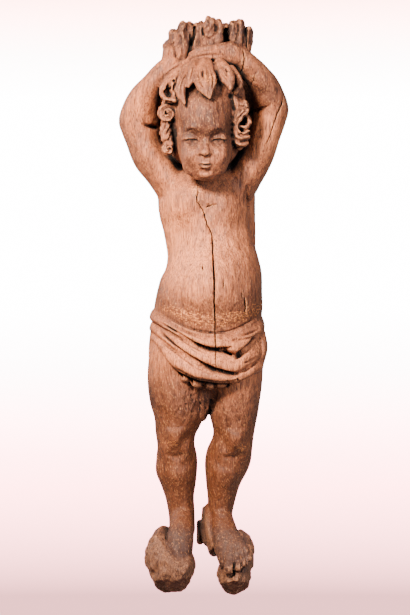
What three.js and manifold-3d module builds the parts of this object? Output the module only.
// Carved oak atlas: a standing child who steadies a broken leafy bundle on the head with both hands.
// The whole figure is one solid, carved from one baulk, with a back sawn flat to go against a wall.
// Millimetres. +X is to the viewer's right, -Y is towards the viewer, +Z is up.
// The origin is on the flat back, behind the middle of the chest.

import * as THREE from 'three';
import { mergeVertices } from 'three/addons/utils/BufferGeometryUtils.js';
import Module from 'manifold-3d';

const wasm = await Module();
wasm.setup();

// Driving sizes.
const figureHeight = 885;      // from the broken top of the bundle to the underside of the rock
const drawnHeight = 885;       // the height at which the places below are drawn
const crackWidth = 3.2;        // the long drying crack down the front, at the surface
const crackDepth = 16;
const armCrackWidth = 1.8;
const armCrackDepth = 12;
const fingerThickness = 4.8;   // half the thickness of a finger
const toeThickness = 6.5;      // half the thickness of a toe
const strandThickness = 4.2;   // half the thickness of a curl's strand
const rollThickness = 9;       // how far a roll of the loincloth stands out at the front
const scallopReach = 8;        // how far a scallop of the hem stands out
const rockRoughness = 3.2;     // how deep the broken rock is chopped

// The pose and the proportions are drawn at one height, and follow the figure's own.
const share = figureHeight / drawnHeight;
const toViewer = new THREE.Vector3(0, -1, 0);

const oak = new THREE.MeshStandardMaterial({ color: 0x8a5d43, roughness: 0.55, metalness: 0 });

// A geometry with its places alone, and each corner kept once.
function merge(geometry) {
  for (const name of Object.keys(geometry.attributes)) {
    if (name !== 'position') geometry.deleteAttribute(name);
  }
  return mergeVertices(geometry, 1e-4);
}

// A closed geometry as a solid, without slivers.
function solid(geometry) {
  const merged = merge(geometry.clone());
  const corners = merged.index.array;
  const triVerts = [];
  for (let i = 0; i < corners.length; i += 3) {
    const [a, b, c] = corners.slice(i, i + 3);
    if (a !== b && b !== c && c !== a) triVerts.push(a, b, c);
  }
  return new wasm.Manifold(new wasm.Mesh({
    numProp: 3,
    vertProperties: new Float32Array(merged.attributes.position.array),
    triVerts: new Uint32Array(triVerts),
  }));
}

function join(solids) {
  return solids.reduce((whole, piece) => whole.add(piece));
}

// Calls `move` with each corner of a geometry, and puts the corner where the call leaves it.
function reshape(geometry, move) {
  const position = geometry.attributes.position;
  const point = new THREE.Vector3();
  for (let i = 0; i < position.count; i += 1) {
    point.fromBufferAttribute(position, i);
    move(point, i);
    position.setXYZ(i, point.x, point.y, point.z);
  }
  return geometry;
}

// A form drawn out along stations, each [x, y, z, half width, half depth], with rounded ends.
// The depth is measured towards `facing`, the width across it. The rings of a level form lie flat.
function drawnOut(stations, options = {}) {
  const { around = 10, along = stations.length - 1, capRings = 1, startCap = 1, endCap = 1 } = options;
  const { facing = () => toViewer, level = false } = options;
  const places = stations.map(([x, y, z]) => new THREE.Vector3(x, y, z).multiplyScalar(share));
  const sizes = stations.map((station) => new THREE.Vector3(station[3], station[4], 0).multiplyScalar(share));
  const spine = new THREE.CatmullRomCurve3(places);
  const girth = new THREE.CatmullRomCurve3(sizes);
  const rings = along + 2 * capRings;
  const ball = merge(new THREE.SphereGeometry(1, around, rings));
  return reshape(ball, (point) => {
    const polar = Math.acos(THREE.MathUtils.clamp(point.y, -1, 1));
    const ring = Math.round(polar / Math.PI * rings);
    const t = THREE.MathUtils.clamp((ring - capRings) / along, 0, 1);
    const swing = Math.min(Math.min(ring, rings - ring) / capRings, 1) * Math.PI / 2;
    const size = girth.getPoint(t);
    const cap = ring < rings / 2 ? -startCap : endCap;
    const tangent = spine.getTangent(t);
    if (level) tangent.set(0, 0, Math.sign(tangent.z));
    const centre = spine.getPoint(t);
    const look = facing(centre);
    const front = look.clone().addScaledVector(tangent, -look.dot(tangent)).normalize();
    const side = front.clone().cross(tangent);
    const ringSize = Math.sin(swing) / Math.max(Math.sin(polar), 1e-6);
    const across = point.x * ringSize * size.x;
    const forward = point.z * ringSize * size.y;
    point.copy(centre);
    point.addScaledVector(tangent, Math.cos(swing) * cap * Math.min(size.x, size.y));
    point.addScaledVector(side, across);
    point.addScaledVector(front, forward);
  });
}

// Raises or sinks a form like clay: each place is [x, y, z, reach, push x, push y, push z].
function model(geometry, places) {
  for (const [x, y, z, reach, pushX, pushY, pushZ] of places) {
    const centre = new THREE.Vector3(x, y, z).multiplyScalar(share);
    const push = new THREE.Vector3(pushX, pushY, pushZ).multiplyScalar(share);
    reshape(geometry, (point) => {
      const near = 1 - Math.min(point.distanceTo(centre) / (reach * share), 1) ** 2;
      point.addScaledVector(push, near * near);
    });
  }
  return geometry;
}

// A rounded lump with its centre and half sizes.
function lump([x, y, z], [halfX, halfY, halfZ], around = 10, rings = 6) {
  const geometry = merge(new THREE.SphereGeometry(1, around, rings));
  geometry.rotateX(Math.PI / 2);
  geometry.scale(halfX * share, halfY * share, halfZ * share);
  return geometry.translate(x * share, y * share, z * share);
}

// The trunk, from the pit of the neck to the fork, with the round belly of a small child.
function trunk() {
  const geometry = drawnOut([
    [-2, -44, 74, 44, 44],
    [-3, -46, 48, 68, 62],
    [-2, -48, 22, 73, 70],
    [-2, -48, -2, 69, 71],
    [0, -49, -30, 64, 73],
    [5, -51, -60, 65, 78],
    [7, -53, -92, 72, 85],
    [5, -53, -124, 78, 87],
    [1, -52, -156, 82, 84],
    [-1, -50, -192, 89, 81],
    [-2, -48, -226, 89, 74],
    [-3, -46, -254, 80, 62],
  ], { around: 20, along: 12, startCap: 0.3, endCap: 0.3 });
  return model(geometry, [
    [-34, -112, 18, 42, 0, -8, 0],
    [30, -112, 16, 42, 0, -8, 0],
    [-2, -120, 12, 28, 0, 4, 0],
    [6, -140, -100, 60, 0, -6, 0],
  ]);
}

// The wood left behind the neck and arms, and the strip of the baulk that shows beside the ribs.
function board() {
  return [
    drawnOut([
      [0, -14, 34, 66, 30],
      [-4, -14, 84, 84, 30],
      [-6, -14, 130, 98, 30],
      [0, -14, 176, 92, 30],
      [0, -14, 222, 60, 30],
    ], { around: 8, along: 3 }),
    drawnOut([
      [42, -8, 40, 30, 22],
      [45, -8, 0, 29, 22],
      [48, -8, -40, 27, 22],
      [50, -8, -84, 27, 22],
    ], { around: 8, along: 3 }),
  ];
}

// Plump legs, a little bent at the knee, with calves that run into the flat back.
function legs() {
  const left = drawnOut([
    [-42, -56, -210, 47, 62],
    [-45, -56, -262, 47, 58],
    [-44, -54, -304, 40, 52],
    [-48, -52, -332, 32, 46],
    [-48, -51, -354, 29, 43],
    [-47, -44, -374, 32, 40],
    [-46, -42, -394, 31, 41],
    [-44, -42, -414, 27, 37],
    [-42, -42, -436, 22, 31],
    [-39, -42, -462, 20, 26],
    [-38, -46, -484, 20, 25],
  ], { around: 11, along: 11 });
  const right = drawnOut([
    [42, -56, -210, 46, 62],
    [43, -56, -262, 42, 58],
    [41, -54, -304, 38, 52],
    [41, -52, -334, 32, 46],
    [38, -51, -356, 33, 43],
    [32, -44, -374, 34, 40],
    [28, -42, -394, 32, 41],
    [25, -42, -412, 27, 37],
    [23, -42, -434, 22, 31],
    [20, -42, -462, 19, 26],
    [21, -46, -486, 19, 25],
  ], { around: 11, along: 11 });
  return [
    model(left, [[-48, -96, -350, 24, 0, -9, 0], [-47, -88, -376, 16, 0, 6, 0]]),
    model(right, [[39, -96, -350, 24, 0, -9, 0], [33, -88, -378, 16, 0, 6, 0]]),
  ];
}

// A bare foot that points down the slope of the rock, with worn toes, the big one on the inner side.
function foot(inner, heel, instep, ball) {
  const sole = drawnOut([
    [...heel, 20, 24],
    [...instep, 22, 20],
    [...ball, 28, 13],
  ], { around: 9 });
  const toes = [];
  for (let i = 0; i < 5; i += 1) {
    const across = ball[0] + inner * (20 - i * 9.5);
    const short = i * i * 0.9;
    const thick = toeThickness / share * (i === 0 ? 1.25 : 1 - i * 0.07);
    toes.push(drawnOut([
      [across - inner, ball[1] + 4 + short, ball[2] + 6 + short, thick, thick],
      [across, ball[1] - 16 + short, ball[2] - 11 + short, thick, thick * 0.9],
    ], { around: 6, along: 1 }));
  }
  return [sole, ...toes];
}

function feet() {
  return [
    ...foot(1, [-38, -46, -474], [-41, -90, -504], [-46, -128, -532]),
    ...foot(-1, [21, -46, -474], [31, -88, -500], [43, -122, -524]),
  ];
}

// The chopped lumps of rock beside and under the feet, and the stubs of wood left behind the heels.
function rocks() {
  const lumps = [
    lump([-70, -58, -528], [26, 54, 45], 9, 6),
    lump([-53, -88, -551], [33, 56, 27], 9, 6),
    lump([51, -58, -524], [20, 48, 37], 8, 6),
    lump([41, -84, -550], [24, 50, 26], 9, 6),
  ];
  for (const geometry of lumps) {
    geometry.computeVertexNormals();
    const normals = geometry.attributes.normal;
    const out = new THREE.Vector3();
    reshape(geometry, (point, i) => {
      const wave = Math.sin(point.x / share * 0.31) + Math.sin((point.y * 0.23 + point.z * 0.29) / share);
      out.fromBufferAttribute(normals, i);
      point.addScaledVector(out, wave * rockRoughness / 2);
    });
  }
  return [
    ...lumps,
    drawnOut([[-6, -22, -454, 7, 16], [-8, -24, -482, 8, 20], [-6, -28, -504, 6, 20]], { around: 7, along: 2 }),
    drawnOut([[8, -22, -456, 11, 14], [8, -24, -500, 12, 20]], { around: 7, along: 1 }),
    drawnOut([[-15, -24, -468, 6, 14], [-16, -28, -508, 6, 14]], { around: 6, along: 1 }),
  ];
}

// Each arm goes up from the shoulder, turns at the elbow and comes back over the head.
function arms() {
  const left = drawnOut([
    [-44, -52, 30, 29, 44],
    [-65, -54, 62, 28, 40],
    [-87, -56, 88, 27, 34],
    [-99, -58, 114, 26, 31],
    [-107, -61, 146, 27, 29],
    [-100, -70, 174, 23, 27],
    [-84, -82, 198, 19, 24],
    [-66, -90, 218, 17, 20],
    [-52, -92, 232, 16, 17],
  ], { around: 10, along: 10 });
  const right = drawnOut([
    [40, -52, 34, 30, 44],
    [63, -54, 68, 28, 40],
    [78, -56, 94, 26, 34],
    [88, -58, 122, 25, 31],
    [98, -62, 160, 26, 29],
    [92, -72, 188, 24, 28],
    [79, -84, 210, 21, 25],
    [63, -98, 227, 18, 21],
    [50, -106, 239, 16, 17],
  ], { around: 10, along: 10 });
  return [
    model(left, [[-136, -62, 150, 26, -2, 0, -2], [-78, -76, 140, 16, -5, 5, 0]]),
    model(right, [[126, -62, 168, 26, 3, 0, -2], [70, -84, 164, 16, 5, 6, 0]]),
  ];
}

// One hand lies across the front of the bundle, and the other grips its left side.
function hands() {
  const thick = fingerThickness / share;
  const across = drawnOut([
    [54, -106, 239, 16, 14],
    [34, -118, 247, 18, 11],
    [14, -122, 248, 14, 9],
    [2, -121, 247, 11, 7],
  ], { around: 8, along: 3 });
  const grip = drawnOut([
    [-54, -90, 230, 17, 17],
    [-48, -86, 248, 20, 17],
    [-42, -78, 262, 17, 15],
  ], { around: 8, along: 2 });
  const fingers = [
    [[20, -124, 254], [2, -128, 256], [-14, -124, 253], [-25, -112, 248]],
    [[20, -126, 248], [2, -130, 248], [-15, -126, 245], [-28, -113, 241]],
    [[20, -126, 241], [2, -129, 240], [-14, -125, 238], [-26, -113, 235]],
  ].map((places) => drawnOut(places.map((place) => [...place, thick, thick]), { around: 6, along: 3 }));
  const gripping = [-60, -51, -42].map((x, i) => drawnOut([
    [x, -94, 236, thick, thick],
    [x + 2, -99, 250, thick, thick],
    [x + 7, -88, 260 + i * 3, thick, thick],
  ], { around: 6, along: 2 }));
  return [across, grip, ...fingers, ...gripping];
}

// The head is drawn upright about its own centre, then bowed and set between the arms.
function head() {
  const pose = new THREE.Matrix4().makeRotationX(THREE.MathUtils.degToRad(12));
  pose.setPosition(-3 * share, -106 * share, 132 * share);
  const skull = model(drawnOut([
    [0, -49, -72, 18, 13],
    [0, -41, -62, 29, 26],
    [0, -29, -46, 38, 41],
    [0, -17, -28, 42, 53],
    [0, -8, -6, 43, 60],
    [0, -2, 18, 46, 65],
    [0, 2, 46, 45, 59],
    [0, 3, 68, 31, 40],
  ], { around: 16, along: 8, startCap: 0.5, endCap: 0.6, level: true }), [
    [-27, -58, -33, 27, -4, -8, 0],
    [27, -58, -33, 27, 4, -8, 0],
    [-19, -68, -9, 15, 0, 7, 0],
    [19, -68, -9, 15, 0, 7, 0],
  ]);
  const features = [
    drawnOut([[0, -66, -4, 5, 6], [0, -70, -17, 6, 7], [0, -76, -27, 8, 7]], { around: 7, along: 2 }),
    drawnOut([[-9, -67, -29, 4, 5], [9, -67, -29, 4, 5]], { around: 6, along: 1 }),
    drawnOut([[-11, -67, -45, 2, 4], [0, -75, -42, 4, 5], [11, -67, -45, 2, 4]], { around: 6, along: 3 }),
    drawnOut([[-9, -67, -49, 2, 4], [0, -74, -51, 4, 5], [9, -67, -49, 2, 4]], { around: 6, along: 3 }),
    lump([0, -62, -66], [13, 10, 9], 8, 4),
    drawnOut([[-44, 2, 0, 5, 9], [-46, 0, -14, 5, 9], [-43, -4, -26, 4, 6]], { around: 6 }),
  ];
  for (const side of [-1, 1]) {
    features.push(lump([side * 19, -60, -9], [11, 9, 8], 8, 4));
    features.push(drawnOut([
      [side * 8, -64, -7, 2.5, 4],
      [side * 19, -70, 0, 2.8, 4],
      [side * 30, -61, -8, 2.5, 4],
    ], { around: 5, along: 3 }));
  }
  return [skull, ...features].map((geometry) => geometry.applyMatrix4(pose));
}

// A curl of hair: one strand wound inwards, with its middle standing out towards the viewer.
function curl([x, y, z], radius, turns, start) {
  const count = Math.round(turns * 7);
  const stations = [];
  for (let i = 0; i <= count; i += 1) {
    const angle = THREE.MathUtils.degToRad(start) + turns * 2 * Math.PI * i / count;
    const reach = radius * (1 - 0.8 * i / count);
    const thick = strandThickness / share * (1 - 0.25 * i / count);
    stations.push([
      x + Math.cos(angle) * reach,
      y - 5 * i / count,
      z + Math.sin(angle) * reach,
      thick,
      thick * 1.6,
    ]);
  }
  return drawnOut(stations, { around: 5, along: count });
}

function hair() {
  const cap = drawnOut([
    [-3, -84, 112, 54, 48],
    [-3, -86, 150, 61, 60],
    [-3, -98, 186, 61, 64],
    [-3, -104, 212, 48, 52],
  ], { around: 11, endCap: 0.35, level: true });
  const locks = [
    // Leaf-like locks that fall over the forehead, from the middle outwards.
    [[-2, -138, 226, 16, 9], [-1, -164, 210, 19, 8], [2, -178, 192, 14, 6], [8, -182, 176, 3, 3]],
    [[16, -136, 226, 9, 9], [25, -160, 212, 12, 8], [33, -169, 198, 9, 6], [35, -168, 188, 3, 3]],
    [[36, -124, 222, 8, 10], [44, -134, 206, 7, 9], [49, -140, 190, 5, 8], [47, -142, 180, 3, 5]],
    [[-22, -136, 226, 9, 9], [-27, -160, 212, 11, 8], [-33, -168, 195, 9, 7], [-37, -168, 180, 4, 4]],
    [[-44, -122, 216, 9, 9], [-62, -128, 200, 6, 8], [-60, -138, 184, 6, 8], [-38, -158, 169, 3, 4]],
    [[-46, -112, 226, 7, 8], [-64, -112, 206, 7, 8], [-72, -112, 180, 6, 8]],
    // Strands beside the cheeks.
    [[-57, -121, 146, 8, 8], [-61, -123, 126, 9, 8], [-59, -125, 104, 7, 6]],
    [[52, -134, 182, 6, 8], [54, -136, 168, 6, 8], [62, -134, 156, 6, 8], [57, -132, 144, 5, 7]],
    [[47, -128, 176, 6, 10], [50, -128, 148, 6, 10], [47, -124, 112, 5, 8]],
  ].map((stations) => drawnOut(stations, { around: 6 }));
  const curls = [
    curl([-60, -128, 155], 14, 1.5, 60),
    curl([-62, -124, 100], 9, 1.1, 80),
    curl([55, -130, 138], 11, 1.1, 100),
    curl([53, -126, 119], 8, 1, 60),
  ];
  return [cap, ...locks, ...curls];
}

// The broken bundle on the head: stubs of leaf and stalk, each [x, y, top z, half width, half depth].
function bundle() {
  const stubs = [
    [-57, -60, 264, 9, 20],
    [-47, -62, 281, 10, 22],
    [-34, -64, 290, 12, 24],
    [-16, -84, 291, 9, 18],
    [-3, -94, 297, 10, 16],
    [8, -84, 292, 7, 16],
    [18, -88, 299, 6, 14],
    [38, -72, 294, 9, 24],
    [51, -66, 293, 10, 24],
    [62, -60, 283, 8, 20],
  ].map(([x, y, top, wide, deep]) => drawnOut([
    [x * 0.86, y, 216, wide, deep],
    [x, y, 250, wide * 1.05, deep],
    [x, y, top, wide * 0.9, deep * 0.8],
  ], { around: 6, along: 2, endCap: 0.8 }));
  const core = drawnOut([[0, -36, 200, 52, 40], [0, -36, 268, 58, 40]], { around: 8, endCap: 0.3 });
  return [...stubs, core];
}

// The hips as the loincloth meets them: half width, half depth, and how far the centre is from the back.
const hips = { wide: 83, deep: 84, centre: -50 };

// A roll of the loincloth round the hips: stations [degrees from the front, z, half height].
function swag(stations) {
  const path = stations.map(([degrees, z, tall]) => {
    const angle = THREE.MathUtils.degToRad(degrees);
    const out = rollThickness / share * (0.5 + 0.5 * Math.max(Math.cos(angle), 0));
    return [hips.wide * Math.sin(angle), hips.centre - hips.deep * Math.cos(angle), z, tall, out];
  });
  const axis = hips.centre * share;
  const outwards = (point) => new THREE.Vector3(point.x, point.y - axis, 0).normalize();
  return drawnOut(path, { around: 7, along: 14, facing: outwards });
}

function loincloth() {
  const rolls = [
    [[-125, -152, 8], [-90, -156, 8], [-65, -158, 8], [-40, -169, 10], [-15, -186, 11], [5, -194, 12],
      [28, -190, 15], [50, -179, 17], [75, -166, 10], [100, -160, 8], [125, -158, 8]],
    [[-125, -164, 7], [-90, -172, 7], [-70, -176, 8], [-45, -189, 9], [-20, -206, 10], [0, -219, 13],
      [15, -226, 14], [30, -230, 12], [45, -223, 14], [65, -208, 15], [90, -199, 15], [125, -196, 14]],
    [[-125, -176, 5], [-90, -186, 5], [-68, -191, 6], [-45, -210, 10], [-25, -227, 13], [-8, -241, 10],
      [5, -248, 8], [20, -251, 7], [35, -250, 6], [55, -242, 7], [90, -232, 8], [125, -230, 8]],
  ].map(swag);
  const apron = lump([2, -98, -252], [62, 22, 13], 10, 4);
  const scallops = [[-31, -256, 12], [-13, -261, 13], [7, -265, 14], [27, -261, 13], [45, -255, 13]].map(
    ([x, z, wide]) => lump([x, -114, z], [wide, scallopReach / share, 9], 7, 4),
  );
  const gather = drawnOut([
    [82, -62, -182, 8, 20],
    [85, -64, -206, 8, 24],
    [81, -66, -232, 7, 20],
  ], { around: 8, along: 2 });
  const worn = drawnOut([
    [-14, -98, -262, 18, 16],
    [-10, -94, -288, 14, 15],
    [-3, -82, -306, 8, 14],
  ], { around: 8, along: 3 });
  return [...rolls, apron, ...scallops, gather, worn];
}

// A drying crack along [x, z] places, sunk into the wood behind the drawn front of the body.
function crack(places, frontAt, width, depth) {
  const last = places.length - 1;
  const halfAt = (i) => (i === 0 || i === last ? 0.2 : 1) * width / 2;
  const edge = (sign) => places.map(([x, z], i) => new THREE.Vector2(x * share + sign * halfAt(i), z * share));
  const outline = new THREE.Shape([...edge(-1), ...edge(1).reverse()]);
  const reach = 40 * share;
  const geometry = new THREE.ExtrudeGeometry(outline, { depth: reach, bevelEnabled: false });
  geometry.rotateX(Math.PI / 2);
  return reshape(geometry, (point) => {
    const surface = frontAt(point.z / share) * share;
    point.y = point.y < -reach / 2 ? surface - reach : surface + depth;
  });
}

function cracks() {
  const lowest = -300;
  const highest = 60;
  const frontLine = new THREE.SplineCurve([
    new THREE.Vector2(lowest, -128),
    new THREE.Vector2(-210, -142),
    new THREE.Vector2(-120, -142),
    new THREE.Vector2(-30, -120),
    new THREE.Vector2(highest, -88),
  ]);
  const rise = (z) => THREE.MathUtils.clamp((z - lowest) / (highest - lowest), 0, 1);
  const front = (z) => frontLine.getPoint(rise(z)).y;
  const long = crack([
    [-14, 36], [-15, 22], [-12, 17], [-6, 6], [0, -13], [7, -32], [9, -60], [11, -110], [12, -177], [13, -258],
  ], front, crackWidth, crackDepth);
  const arm = crack([[117, 186], [114, 154], [97, 100], [85, 78]], () => -84, armCrackWidth, armCrackDepth);
  return [long, arm];
}

const carved = join([
  trunk(),
  ...board(),
  ...legs(),
  ...feet(),
  ...rocks(),
  ...arms(),
  ...hands(),
  ...head(),
  ...hair(),
  ...bundle(),
  ...loincloth(),
].map(solid));

// All that lies in front of the saw cut that made the flat back.
const room = 2 * figureHeight;
const front = new THREE.BoxGeometry(room, room, room).translate(0, -room / 2, 0);
const figure = carved.intersect(solid(front)).subtract(join(cracks().map(solid)));

function node(name, body) {
  const mesh = body.getMesh();
  const geometry = new THREE.BufferGeometry();
  geometry.setAttribute('position', new THREE.BufferAttribute(mesh.vertProperties, 3));
  geometry.setIndex(new THREE.BufferAttribute(mesh.triVerts, 1));
  geometry.computeVertexNormals();
  const piece = new THREE.Mesh(geometry, oak);
  piece.name = name;
  return piece;
}

const group = new THREE.Group();
group.add(node('atlas_figure', figure));

export default group;
